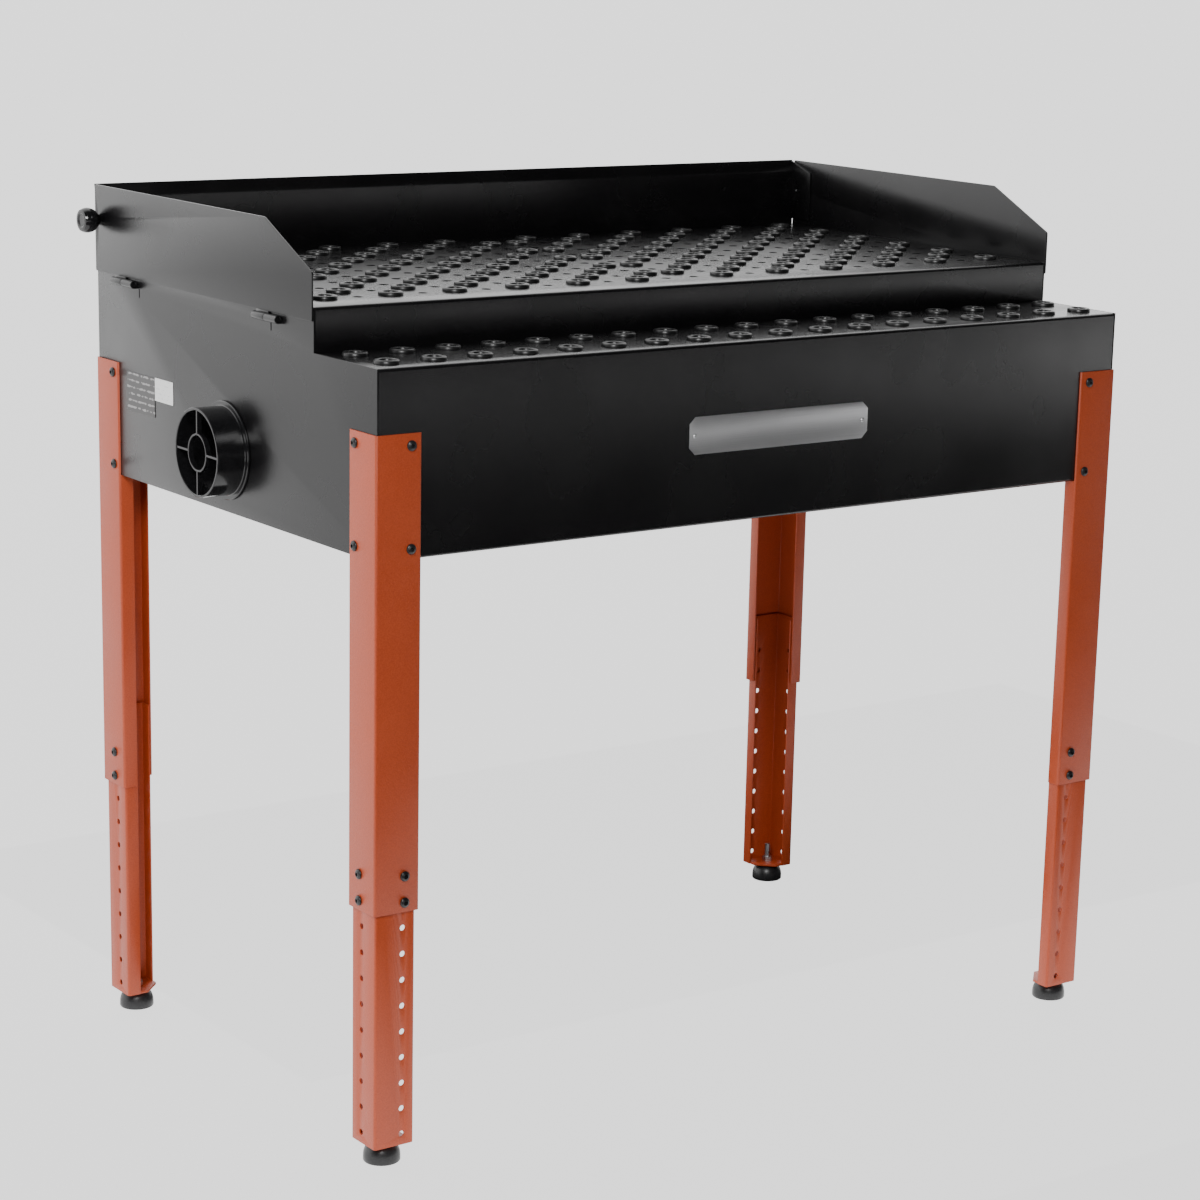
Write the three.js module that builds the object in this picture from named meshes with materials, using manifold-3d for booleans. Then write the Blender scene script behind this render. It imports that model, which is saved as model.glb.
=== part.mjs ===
// A stepped downdraft table: a bent-sheet air box with a low front shelf, a perforated upper deck,
// two fold-down side wings and a back guard, a dust port on its left side, and four legs whose
// lower halves telescope on a row of bolt holes and stand on screw-in feet.
// Millimetres, +X to the right, +Y to the back, +Z up. While the pieces are made, the zero point
// is the cabinet's front left bottom corner; the finished table is then centred on its footprint.

import * as THREE from "three";
import { mergeVertices } from "three/addons/utils/BufferGeometryUtils.js";
import Module from "manifold-3d";

const wasm = await Module();
wasm.setup();

// Cabinet
const width = 1060;
const depth = 644;
const shelfHeight = 206;
const deckHeight = 255;
const shelfDepth = 131;
const sheet = 2;
const seam = 0.3; // gap between two pieces that touch
const bendRadius = 3.5;
const lowerFlange = 16; // return flange along the cabinet's bottom edges
const floorHeight = 12;
const stiffenerWidth = 36;
const stiffenerDrop = 20;

// Air holes, each lined with a rubber ring on the real table
const airHoleRadius = 9;
const shelfColumns = 18;
const shelfRowFromFront = 33;
const shelfRowPitch = 64;
const shelfSideMargin = 31.5;
const deckPitch = 42; // rings sit on every second point of this square grid
const deckSideMargin = 48;
const deckRowFromRiser = 59;
const deckRearMargin = 30;
const deckMiddleGap = 40; // the grid is mirrored about the middle, over the stiffener

// Wings and back guard
const wingTop = 342;
const wingFrontTop = 292;
const wingBevel = 103; // length of the sloping front corner, front to back
const wingOverlap = 15; // how far wings and guard lap the cabinet below the deck
const guardLip = 15;
const guardLean = 4; // how far the guard's lip leans back
const guardEar = 38; // forward ears of the guard, which the knobs clamp the wings to
const reliefNotch = 7;
const knobFromBack = 10;
const knobHeight = 301;
const knobRadius = 14.7;
const knobNeck = 6.3;
const knobMiddle = 15.3; // widest place of the knob, out from the wing
const knobReach = 23.6;
const studRadius = 2.5;
const studEnd = 5; // how far the stud reaches inside the cabinet's side plane
const studClearance = 1.5; // lets the stud swing out through the ear as the wing folds

// Wing hinges, one pair a side
const hingeRadius = 4.5;
const hingePinRadius = 2.4;
const hingePinPlay = 0.4;
const hingeDrop = 6; // axis below the wing's bottom edge
const knuckleLength = 27;
const pinBlockLength = 26.5;
const frontKnuckle = 94.5; // front face of the front knuckle, from the riser
const rearKnuckle = 77.2; // front face of the rear knuckle, from the cabinet's back

// Dust port
const portRadius = 50.8;
const portWall = 3;
const portReach = 38;
const portFromFront = 328;
const portHeight = 70.5;
const portFlange = 3; // flange that lies on the side wall
const portFlangeRim = 5.6;
const portInside = 12;
const portSides = 24;
const guardRing = 22;
const guardRingWall = 2.4;
const guardDepth = 7;
const spokeWidth = 2.6;

// Front plaque
const plaqueWidth = 259;
const plaqueHeight = 43;
const plaqueThickness = 1.2;
const plaqueFromLeft = 407;
const plaqueBottom = 82;
const plaqueCorner = 8;

// Legs
const legWidth = 57;
const legDepth = 56;
const legLip = 18;
const legTop = 136;
const upperLegDrop = 391;
const lowerLegDrop = 663;
const legLap = 91; // lower leg inside upper leg, as far out as it goes
const slip = 1.2;
const legHolePitch = 30;
const legHoleRadius = 3.5;
const lockHoleFromEnd = 11;
const lockHoleFromSide = 38;
const lockHoleFromFront = 32;
const lockBolts = 2;
const legHoles = 11;
const endPlate = 3;
const endPlateChamfer = 22;

// Lock bolts
const boltHeadRadius = 5.75;
const boltHead = 3.3;
const boltShankRadius = 3;
const boltShankEnd = 0.6; // how far a shank reaches past the sheet it passes through
const socketRadius = 2.1;
const socketDepth = 1.7;

// Feet
const footFromCorner = 27;
const footRadius = 21;
const footHeight = 22;
const footTopRadius = 10;
const footRim = 6;
const footStudRadius = 4;
const footStud = 30;
const footStudPlay = 0.4;
const footNutRadius = 7.5;
const footNut = 6.5;

const outside = sheet + seam; // outer face of a sheet that lies against the cabinet's skin
const guardBottom = deckHeight - wingOverlap;
const knobFromFront = depth - knobFromBack;
const hingeAxisX = -seam - sheet / 2 - hingeRadius + 0.5;
const hingeAxisZ = guardBottom - hingeDrop;
const hingeFromFront = [shelfDepth + frontKnuckle, depth - rearKnuckle];
const legBend = outside; // a leg's bend is centred on the cabinet's square corner
const boltSeat = -outside - seam;
const round = 12; // sides of a round piece

const looks = {
  black: new THREE.MeshStandardMaterial({ color: 0x26262a, roughness: 0.55, metalness: 0.1 }),
  orange: new THREE.MeshStandardMaterial({ color: 0xc2562f, roughness: 0.6, metalness: 0.05 }),
  plastic: new THREE.MeshStandardMaterial({ color: 0x0c0c0d, roughness: 0.25, metalness: 0 }),
  rubber: new THREE.MeshStandardMaterial({ color: 0x1c1c1e, roughness: 0.8, metalness: 0 }),
  oxide: new THREE.MeshStandardMaterial({ color: 0x1a1a1c, roughness: 0.4, metalness: 0.8 }),
  zinc: new THREE.MeshStandardMaterial({ color: 0xb9bcc0, roughness: 0.3, metalness: 1 }),
  plaque: new THREE.MeshStandardMaterial({ color: 0xa9abad, roughness: 0.35, metalness: 0.9 }),
};

const table = new THREE.Group();

// Adds a named piece to the table, from a manifold solid.
function add(name, solid, look) {
  const made = solid.getMesh();
  const geometry = new THREE.BufferGeometry();
  geometry.setAttribute("position", new THREE.BufferAttribute(made.vertProperties, 3));
  geometry.setIndex(new THREE.BufferAttribute(made.triVerts, 1));
  geometry.computeVertexNormals();
  const piece = new THREE.Mesh(geometry, looks[look]);
  piece.name = name;
  table.add(piece);
}

// A closed three.js geometry as a manifold solid, ready to be cut or joined.
function solidOf(geometry) {
  const bare = geometry.index ? geometry.toNonIndexed() : geometry.clone();
  bare.deleteAttribute("normal");
  bare.deleteAttribute("uv");
  const merged = mergeVertices(bare, 1e-4);
  return new wasm.Manifold(
    new wasm.Mesh({
      numProp: 3,
      vertProperties: merged.attributes.position.array,
      triVerts: new Uint32Array(merged.index.array),
    }),
  );
}

const v2 = (x, y) => new THREE.Vector2(x, y);

// Corner radius of a straight-sided hole whose flats stand a gap clear of a round piece.
function holeAround(radius, gap, sides) {
  return (radius + gap) / Math.cos(Math.PI / sides);
}

const X = new THREE.Vector3(1, 0, 0);
const Y = new THREE.Vector3(0, 1, 0);
const Z = new THREE.Vector3(0, 0, 1);
const basis = (a, b, c) => new THREE.Matrix4().makeBasis(a, b, c);

// An outline, with round holes given as [x, y, radius], raised from one height to another.
function raised(outline, low, high, holes = [], sides = round) {
  const shape = new THREE.Shape(outline);
  for (const [x, y, radius] of holes) shape.holes.push(ring(x, y, radius, sides));
  const geometry = new THREE.ExtrudeGeometry(shape, { depth: high - low, bevelEnabled: false });
  return solidOf(geometry.translate(0, 0, low));
}

// A round hole as a closed path of straight sides.
function ring(x, y, radius, sides) {
  const corners = Array.from({ length: sides }, (_, i) => {
    const turn = (2 * Math.PI * (i + 0.5)) / sides;
    return v2(x + radius * Math.cos(turn), y + radius * Math.sin(turn));
  });
  return new THREE.Path(corners);
}

// The same, with the outline drawn in (Y, Z) and carried along X.
function alongX(outline, from, to, holes, sides) {
  return raised(outline, from, to, holes, sides).transform(basis(Y, Z, X).elements);
}

// The same, with the outline drawn in (X, Z) and carried along Y.
function alongY(outline, from, to, holes, sides) {
  return raised(outline, -to, -from, holes, sides)
    .transform(basis(X, Z, Y.clone().negate()).elements);
}

function rectangle(left, low, right, high) {
  return [v2(left, low), v2(right, low), v2(right, high), v2(left, high)];
}

// Arc points that round one corner of a path.
function arcAt(before, corner, after, radius, steps) {
  const arriving = corner.clone().sub(before).normalize();
  const leaving = after.clone().sub(corner).normalize();
  const turn = Math.atan2(arriving.cross(leaving), arriving.dot(leaving));
  const start = corner.clone().addScaledVector(arriving, -radius * Math.tan(Math.abs(turn) / 2));
  const inward = v2(-arriving.y, arriving.x).multiplyScalar(Math.sign(turn) * radius);
  const centre = start.clone().add(inward);
  return Array.from({ length: steps + 1 }, (_, i) =>
    start.clone().rotateAround(centre, (turn * i) / steps),
  );
}

function rounded(path, radius, steps = 2) {
  const bends = path.slice(1, -1).flatMap((corner, i) =>
    arcAt(path[i], corner, path[i + 2], radius, steps),
  );
  return [path[0], ...bends, path.at(-1)];
}

// The outline of a bent sheet. The path is its outer skin, with the metal on the path's left.
function bentSheet(corners, thickness = sheet, radius = bendRadius) {
  const path = rounded(corners, radius);
  const lefts = path.slice(1).map((point, i) => {
    const along = point.clone().sub(path[i]).normalize();
    return v2(-along.y, along.x);
  });
  const inner = path.map((point, i) => {
    const a = lefts[Math.max(i - 1, 0)];
    const b = lefts[Math.min(i, lefts.length - 1)];
    const mitre = a.clone().add(b).multiplyScalar(thickness / (1 + a.dot(b)));
    return point.clone().add(mitre);
  });
  return [...path, ...inner.reverse()];
}

// A turned piece about +Z, from a profile of (radius, height) that starts and ends on the axis
// or closes on itself.
function turned(profile, sides = round) {
  return solidOf(new THREE.LatheGeometry(profile, sides).applyMatrix4(basis(X, Z, Y.clone().negate())));
}

// ---- Cabinet

// Front wall and shelf, bent from one sheet. Its air holes stand in two straight rows.
function frontShelfPanel() {
  const skin = [
    v2(shelfDepth - seam, shelfHeight),
    v2(0, shelfHeight),
    v2(0, 0),
    v2(lowerFlange, 0),
  ];
  const panel = alongX(bentSheet(skin), sheet + seam, width - sheet - seam);
  return shelfHoles().reduce((left, hole) => left.subtract(hole), panel);
}

function shelfHoles() {
  const pitch = (width - 2 * shelfSideMargin) / (shelfColumns - 1);
  const places = [];
  for (let row = 0; row < 2; row += 1) {
    for (let column = 0; column < shelfColumns; column += 1) {
      places.push([shelfSideMargin + column * pitch, shelfRowFromFront + row * shelfRowPitch]);
    }
  }
  return places.map(([x, y]) => drill(x, y, shelfHeight));
}

// A drill for one air hole, through the sheet whose top is at the given height.
function drill(x, y, top) {
  const bore = new THREE.CylinderGeometry(airHoleRadius, airHoleRadius, 3 * sheet, 6);
  bore.applyMatrix4(basis(X, Z, Y.clone().negate()));
  return solidOf(bore.translate(x, y, top - sheet / 2));
}

// Riser and upper deck, bent from one sheet.
function riserDeckPanel() {
  const skin = [
    v2(depth, deckHeight),
    v2(shelfDepth, deckHeight),
    v2(shelfDepth, shelfHeight - sheet),
  ];
  const panel = alongX(bentSheet(skin), sheet + seam, width - sheet - seam);
  return deckHoles().reduce((left, hole) => left.subtract(hole), panel);
}

// The deck's rings stand on every second point of a square grid, mirrored about the middle.
function deckHoles() {
  const firstRow = shelfDepth + deckRowFromRiser;
  const rows = Math.floor((depth - deckRearMargin - firstRow) / deckPitch) + 1;
  const halfSpan = (width - deckMiddleGap) / 2 - deckSideMargin;
  const columns = Math.floor(halfSpan / deckPitch) + 1;
  const holes = [];
  for (let row = 0; row < rows; row += 1) {
    for (let column = row % 2; column < columns; column += 2) {
      const x = deckSideMargin + column * deckPitch;
      const y = firstRow + row * deckPitch;
      holes.push(drill(x, y, deckHeight), drill(width - x, y, deckHeight));
    }
  }
  return holes;
}

function rearPanel() {
  const skin = [
    v2(depth - lowerFlange, 0),
    v2(depth, 0),
    v2(depth, deckHeight - sheet - seam),
  ];
  return alongX(bentSheet(skin), sheet + seam, width - sheet - seam);
}

// A stepped side wall: low along the shelf, full height beside the deck.
function sideOutline() {
  return [
    v2(0, 0),
    v2(depth, 0),
    v2(depth, deckHeight),
    v2(shelfDepth, deckHeight),
    v2(shelfDepth, shelfHeight),
    v2(0, shelfHeight),
  ];
}

function leftSidePanel() {
  const hole = [portFromFront, portHeight, holeAround(portRadius, seam, portSides)];
  return alongX(sideOutline(), 0, sheet, [hole], portSides);
}

function rightSidePanel() {
  return alongX(sideOutline(), width - sheet, width);
}

// The floor of the air box, a tray that stands on the walls' lower flanges.
function floorPan() {
  const front = sheet + seam;
  const back = depth - sheet - seam;
  const skin = [
    v2(front, floorHeight),
    v2(front, sheet + seam),
    v2(back, sheet + seam),
    v2(back, floorHeight),
  ];
  return alongX(bentSheet(skin), 2 * sheet, width - 2 * sheet);
}

// A channel under the middle of the deck, where the rows of rings leave a gap.
function deckStiffener() {
  const top = deckHeight - sheet - seam;
  const left = (width - stiffenerWidth) / 2;
  const skin = [
    v2(left, top),
    v2(left, top - stiffenerDrop),
    v2(left + stiffenerWidth, top - stiffenerDrop),
    v2(left + stiffenerWidth, top),
  ];
  return alongY(bentSheet(skin), shelfDepth + bendRadius + sheet, depth - 2 * sheet);
}

// A plain plate on the front wall, with clipped corners.
function frontPlaque() {
  const left = plaqueFromLeft;
  const right = left + plaqueWidth;
  const low = plaqueBottom;
  const high = low + plaqueHeight;
  const cut = plaqueCorner;
  const outline = [
    v2(left + cut, low),
    v2(right - cut, low),
    v2(right, low + cut),
    v2(right, high - cut),
    v2(right - cut, high),
    v2(left + cut, high),
    v2(left, high - cut),
    v2(left, low + cut),
  ];
  return alongY(outline, -seam - plaqueThickness, -seam);
}

// ---- Wings and back guard

// The back guard: a wall behind the deck with a lip that leans back, and an ear at each end
// whose top slopes up to the lip.
function backGuard() {
  const low = guardBottom;
  const bend = wingTop - guardLip;
  const face = depth + seam;
  const wall = [
    v2(face, low),
    v2(face + sheet, low),
    v2(face + sheet, bend),
    v2(face + sheet + guardLean, wingTop),
    v2(face + guardLean, wingTop),
    v2(face, bend),
  ];
  const earLow = deckHeight + reliefNotch;
  const ear = [
    v2(depth - guardEar, earLow),
    v2(face + sheet, earLow),
    v2(face + sheet, bend),
    v2(face + sheet + guardLean, wingTop),
    v2(face + guardLean, wingTop),
    v2(depth - guardEar, bend),
  ];
  const holes = [[knobFromFront, knobHeight, holeAround(studRadius, studClearance, round)]];
  return alongX(wall, 0, width)
    .add(alongX(ear, 0, sheet, holes))
    .add(alongX(ear, width - sheet, width, holes));
}

// A side wing, for the left side: its plate, and one knuckle for each of its hinges.
function leftWing() {
  const low = guardBottom;
  const outline = [
    v2(shelfDepth, low),
    v2(depth, low),
    v2(depth, wingTop),
    v2(shelfDepth + wingBevel, wingTop),
    v2(shelfDepth, wingFrontTop),
  ];
  const holes = [[knobFromFront, knobHeight, holeAround(studRadius, seam, round)]];
  const bore = holeAround(hingePinRadius, hingePinPlay, round);
  let wing = alongX(outline, -outside, -seam, holes);
  for (const start of hingeFromFront) wing = wing.add(knuckle(start));
  for (const start of hingeFromFront) wing = wing.subtract(hingeBar(start, knuckleLength, bore, 1));
  return wing;
}

// A round bar on the left hinge axis, starting at a given place and running to the back.
function hingeBar(start, length, radius, extra = 0) {
  return alongY(ringOutline(hingeAxisX, hingeAxisZ, radius), start - extra, start + length + extra);
}

function ringOutline(x, y, radius) {
  return ring(x, y, radius, round).getPoints();
}

// A knuckle under the wing's bottom edge, with the tab that joins it to the plate.
function knuckle(start) {
  const tab = rectangle(-outside, hingeAxisZ, -seam, guardBottom + 1);
  return hingeBar(start, knuckleLength, hingeRadius).add(alongY(tab, start, start + knuckleLength));
}

// The fixed half of a hinge, in front of each knuckle, with the pin that the knuckle turns on.
// A narrow tab along its inner side is its weld to the cabinet.
function leftHingePin(start) {
  const blockStart = start - seam - pinBlockLength;
  const block = hingeBar(blockStart, pinBlockLength, hingeRadius);
  const pin = hingeBar(start - seam - 1, knuckleLength - 1, hingePinRadius);
  const weld = rectangle(hingeAxisX, hingeAxisZ - hingeRadius, -seam, hingeAxisZ);
  return block.add(pin).add(alongY(weld, blockStart, blockStart + pinBlockLength));
}

// A ball knob on its screw, for the left side. The screw passes through the wing and the ear.
function leftKnob() {
  const swell = Array.from({ length: 7 }, (_, i) => {
    const turn = -0.85 + (i * (0.85 + 0.55)) / 6;
    return v2(knobRadius * Math.cos(turn), knobMiddle + knobMiddle * 0.95 * Math.sin(turn));
  });
  const profile = [
    v2(0, -outside - studEnd),
    v2(studRadius, -outside - studEnd),
    v2(studRadius, seam),
    v2(knobNeck, seam),
    ...swell,
    v2(knobRadius * 0.6, knobReach),
    v2(knobRadius * 0.45, knobReach - 1.4),
    v2(0, knobReach - 1.4),
  ];
  return turned(profile)
    .transform(basis(Z, Y, X.clone().negate()).elements)
    .translate(-outside, knobFromFront, knobHeight);
}

// ---- Dust port

// A hose port with a flange on the wall, and a finger guard of a ring and four spokes at its
// mouth.
function dustPort() {
  const mouth = portReach;
  const flange = seam + portFlange;
  const bore = portRadius - portWall;
  const tube = turned(
    [
      v2(bore, -portInside),
      v2(portRadius, -portInside),
      v2(portRadius, seam),
      v2(portRadius + portFlangeRim, seam),
      v2(portRadius + portFlangeRim, flange),
      v2(portRadius, flange),
      v2(portRadius, mouth),
      v2(bore, mouth),
      v2(bore, -portInside),
    ],
    portSides,
  );
  const hub = turned(
    [
      v2(guardRing - guardRingWall, mouth - guardDepth),
      v2(guardRing, mouth - guardDepth),
      v2(guardRing, mouth - 1),
      v2(guardRing - guardRingWall, mouth - 1),
      v2(guardRing - guardRingWall, mouth - guardDepth),
    ],
    18,
  );
  return spokes(bore, mouth)
    .reduce((port, spoke) => port.add(spoke), tube.add(hub))
    .transform(basis(Z, Y, X.clone().negate()).elements)
    .translate(0, portFromFront, portHeight);
}

function spokes(bore, mouth) {
  const reach = bore + portWall / 2;
  const near = guardRing - guardRingWall / 2;
  const half = spokeWidth / 2;
  return [0, 1, 2, 3].map((quarter) =>
    raised(rectangle(near, -half, reach, half), mouth - guardDepth, mouth - 1)
      .rotate([0, 0, 90 * quarter]),
  );
}

// ---- Legs

// The four corners: a name, and what mirrors a front left piece into that corner.
const corners = [
  { name: "front_left", mirror: [] },
  { name: "front_right", mirror: ["x"] },
  { name: "rear_left", mirror: ["y"] },
  { name: "rear_right", mirror: ["x", "y"] },
];

function mirrored(solid, axes) {
  let placed = solid;
  if (axes.includes("x")) placed = placed.mirror([1, 0, 0]).translate(width, 0, 0);
  if (axes.includes("y")) placed = placed.mirror([0, 1, 0]).translate(0, depth, 0);
  return placed;
}

// A leg's section, set in from the leg's own corner.
function legSection(inset, lip) {
  const near = inset - outside;
  const right = legWidth - inset - outside;
  const back = legDepth - inset - outside;
  const middle = [v2(near, back), v2(near, near), v2(right, near)];
  if (!lip) return bentSheet(middle, sheet, legBend);
  return bentSheet([v2(near + lip, back), ...middle, v2(right, near + lip)], sheet, legBend);
}

// Upper leg: an angle bolted to the cabinet's corner, with inward lips below the cabinet.
function upperLeg() {
  const angle = raised(legSection(0, 0), -upperLegDrop, legTop);
  const lips = raised(legSection(0, legLip), -upperLegDrop, -seam);
  return lockHolePlaces(lockBolts).reduce(
    (leg, z) => drillBothFaces(leg, z, holeAround(boltShankRadius, seam, 6)),
    angle.add(lips),
  );
}

// Heights of the leg holes, from the topmost one down.
function lockHolePlaces(count) {
  const lowest = -upperLegDrop + lockHoleFromEnd;
  const highest = lowest + (lockBolts - 1) * legHolePitch;
  return Array.from({ length: count }, (_, i) => highest - i * legHolePitch);
}

function drillBothFaces(leg, z, radius) {
  const fromSide = lockHoleFromSide - outside;
  const fromFront = lockHoleFromFront - outside;
  const reach = 4 * sheet + 2 * slip;
  return leg
    .subtract(alongY(ring(fromSide, z, radius, 6).getPoints(), -reach, reach))
    .subtract(alongX(ring(fromFront, z, radius, 6).getPoints(), -reach, reach));
}

// Lower leg: the same section nested inside, with a row of holes and an end plate for the foot.
function lowerLeg() {
  const inset = sheet + slip;
  const section = legSection(inset, legLip - slip);
  const tube = raised(section, -lowerLegDrop, -upperLegDrop + legLap);
  const drilled = lockHolePlaces(legHoles).reduce(
    (leg, z) => drillBothFaces(leg, z, legHoleRadius),
    tube,
  );
  return drilled.add(legEndPlate(inset));
}

function legEndPlate(inset) {
  const near = inset - outside + sheet / 2;
  const right = legWidth - inset - outside - sheet / 2;
  const back = legDepth - inset - outside - sheet / 2;
  const outline = [
    v2(near, near),
    v2(right, near),
    v2(right, back - endPlateChamfer),
    v2(right - endPlateChamfer, back),
    v2(near, back),
  ];
  const foot = footFromCorner - outside;
  const hole = [[foot, foot, holeAround(footStudRadius, footStudPlay, round)]];
  return raised(outline, -lowerLegDrop, -lowerLegDrop + endPlate, hole);
}

// A button-head lock bolt. Its shank ends short of the lower leg, which slides past it.
function lockBolt() {
  const shank = sheet + boltShankEnd;
  return turned(
    [
      v2(0, -shank),
      v2(boltShankRadius, -shank),
      v2(boltShankRadius, 0),
      v2(boltHeadRadius, 0),
      v2(boltHeadRadius, boltHead * 0.35),
      v2(boltHeadRadius * 0.7, boltHead),
      v2(socketRadius, boltHead),
      v2(socketRadius, boltHead - socketDepth),
      v2(0, boltHead - socketDepth),
    ],
    8,
  );
}

function boltOnFront(z) {
  return lockBolt()
    .transform(basis(X, Z, Y.clone().negate()).elements)
    .translate(lockHoleFromSide - outside, boltSeat, z);
}

function boltOnSide(z) {
  return lockBolt()
    .transform(basis(Z, Y, X.clone().negate()).elements)
    .translate(boltSeat, lockHoleFromFront - outside, z);
}

// A domed foot on its screw, its face on the floor.
function foot() {
  const floor = -lowerLegDrop - 1 - footHeight;
  const at = footFromCorner - outside;
  const profile = [
    v2(0, 0),
    v2(footRadius - 1.5, 0),
    v2(footRadius, 1.5),
    v2(footRadius, footRim),
    v2(footRadius * 0.86, footHeight * 0.6),
    v2(footTopRadius, footHeight),
    v2(footStudRadius, footHeight),
    v2(footStudRadius, footHeight + footStud),
    v2(0, footHeight + footStud),
  ];
  return turned(profile).translate(at, at, floor);
}

// The six-sided nut that holds the foot's screw, on top of the end plate.
function footNutSolid() {
  const at = footFromCorner - outside;
  const low = -lowerLegDrop + endPlate + seam;
  const outline = ring(at, at, footNutRadius, 6).getPoints();
  const hole = [at, at, holeAround(footStudRadius, footStudPlay, round)];
  return raised(outline, low, low + footNut, [hole]);
}

// ---- The whole table

add("front_shelf_panel", frontShelfPanel(), "black");
add("riser_deck_panel", riserDeckPanel(), "black");
add("rear_panel", rearPanel(), "black");
add("left_side_panel", leftSidePanel(), "black");
add("right_side_panel", rightSidePanel(), "black");
add("floor_pan", floorPan(), "black");
add("deck_stiffener", deckStiffener(), "zinc");
add("back_guard", backGuard(), "black");
add("front_plaque", frontPlaque(), "plaque");
add("dust_port", dustPort(), "plastic");

for (const [side, axes] of [["left", []], ["right", ["x"]]]) {
  add(side + "_wing", mirrored(leftWing(), axes), "black");
  add(side + "_knob", mirrored(leftKnob(), axes), "plastic");
  hingeFromFront.forEach((start, i) => {
    const end = ["front", "rear"][i];
    add(side + "_" + end + "_hinge_pin", mirrored(leftHingePin(start), axes), "oxide");
  });
}

for (const { name, mirror } of corners) {
  add(name + "_upper_leg", mirrored(upperLeg(), mirror), "orange");
  add(name + "_lower_leg", mirrored(lowerLeg(), mirror), "orange");
  add(name + "_foot", mirrored(foot(), mirror), "rubber");
  add(name + "_foot_nut", mirrored(footNutSolid(), mirror), "zinc");
  lockHolePlaces(lockBolts).forEach((z, i) => {
    const level = ["upper", "lower"][i];
    add(name + "_" + level + "_front_bolt", mirrored(boltOnFront(z), mirror), "oxide");
    add(name + "_" + level + "_side_bolt", mirrored(boltOnSide(z), mirror), "oxide");
  });
}

// The middle of the footprint, on the floor, is the part's zero point.
const box = new THREE.Box3().setFromObject(table);
const centre = box.getCenter(new THREE.Vector3());
table.position.set(-centre.x, -centre.y, -box.min.z);

export default table;
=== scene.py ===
import math

import bmesh
import bpy
from mathutils import Matrix, Vector


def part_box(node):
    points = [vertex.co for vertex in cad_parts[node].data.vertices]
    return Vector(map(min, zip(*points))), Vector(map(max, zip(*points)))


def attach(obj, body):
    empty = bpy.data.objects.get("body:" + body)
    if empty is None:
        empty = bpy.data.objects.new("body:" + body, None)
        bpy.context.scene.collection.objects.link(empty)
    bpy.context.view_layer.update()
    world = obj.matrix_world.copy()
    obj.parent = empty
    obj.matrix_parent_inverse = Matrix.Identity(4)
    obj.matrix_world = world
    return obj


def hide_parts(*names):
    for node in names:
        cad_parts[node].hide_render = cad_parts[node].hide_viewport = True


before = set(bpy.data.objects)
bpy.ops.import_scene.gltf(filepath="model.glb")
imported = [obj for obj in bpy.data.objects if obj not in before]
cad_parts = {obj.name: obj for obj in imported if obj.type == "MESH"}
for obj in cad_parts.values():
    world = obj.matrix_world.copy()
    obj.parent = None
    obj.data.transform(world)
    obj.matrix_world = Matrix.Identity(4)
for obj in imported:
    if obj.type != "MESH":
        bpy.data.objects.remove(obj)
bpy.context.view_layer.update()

# ---- Front wall and shelf
# One sheet of steel, bent along the top front edge and again into a flange at the bottom, black
# powder coated. The shelf is punched with two straight rows of air holes.
left, front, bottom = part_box("left_side_panel")[0]
right, back, deck_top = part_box("right_side_panel")[1]
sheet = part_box("left_side_panel")[1].x - left
half = sheet / 2
seam = 0.0003
shelf_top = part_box("front_shelf_panel")[1].z
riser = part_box("riser_deck_panel")[0].y
inner_left = left + sheet + seam
inner_width = right - left - 2 * (sheet + seam)


def trace(name, points):
    """A chain of edges through the points, drawn from a single vertex, left in edit mode."""
    bpy.ops.object.select_all(action="DESELECT")
    bpy.ops.mesh.primitive_plane_add(size=0.01, location=points[0])
    piece = bpy.context.object
    piece.name = name
    bpy.ops.object.mode_set(mode="EDIT")
    bpy.ops.mesh.select_all(action="SELECT")
    bpy.ops.mesh.merge(type="CENTER")
    for start, end in zip(points, points[1:]):
        step = Vector(end) - Vector(start)
        bpy.ops.mesh.extrude_vertices_move(TRANSFORM_OT_translate={"value": step})
    return piece


def finish(piece, edge=0.0004, angle=35):
    """Settles a piece at the origin, eases its cut edges and smooths its bends."""
    bpy.ops.object.mode_set(mode="OBJECT")
    bpy.ops.object.select_all(action="DESELECT")
    piece.select_set(True)
    bpy.context.view_layer.objects.active = piece
    bpy.ops.object.transform_apply(location=True, rotation=True, scale=True)
    bpy.ops.object.mode_set(mode="EDIT")
    bpy.ops.mesh.select_all(action="SELECT")
    bpy.ops.mesh.remove_doubles(threshold=0.00001)
    bpy.ops.mesh.normals_make_consistent(inside=False)
    bpy.ops.object.mode_set(mode="OBJECT")
    if edge:
        ease = piece.modifiers.new("eased edges", "BEVEL")
        ease.width = edge
        ease.segments = 2
        ease.limit_method = "ANGLE"
        ease.angle_limit = math.radians(40)
        bpy.ops.object.modifier_apply(modifier=ease.name)
    bpy.ops.object.shade_smooth_by_angle(angle=math.radians(angle))


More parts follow.
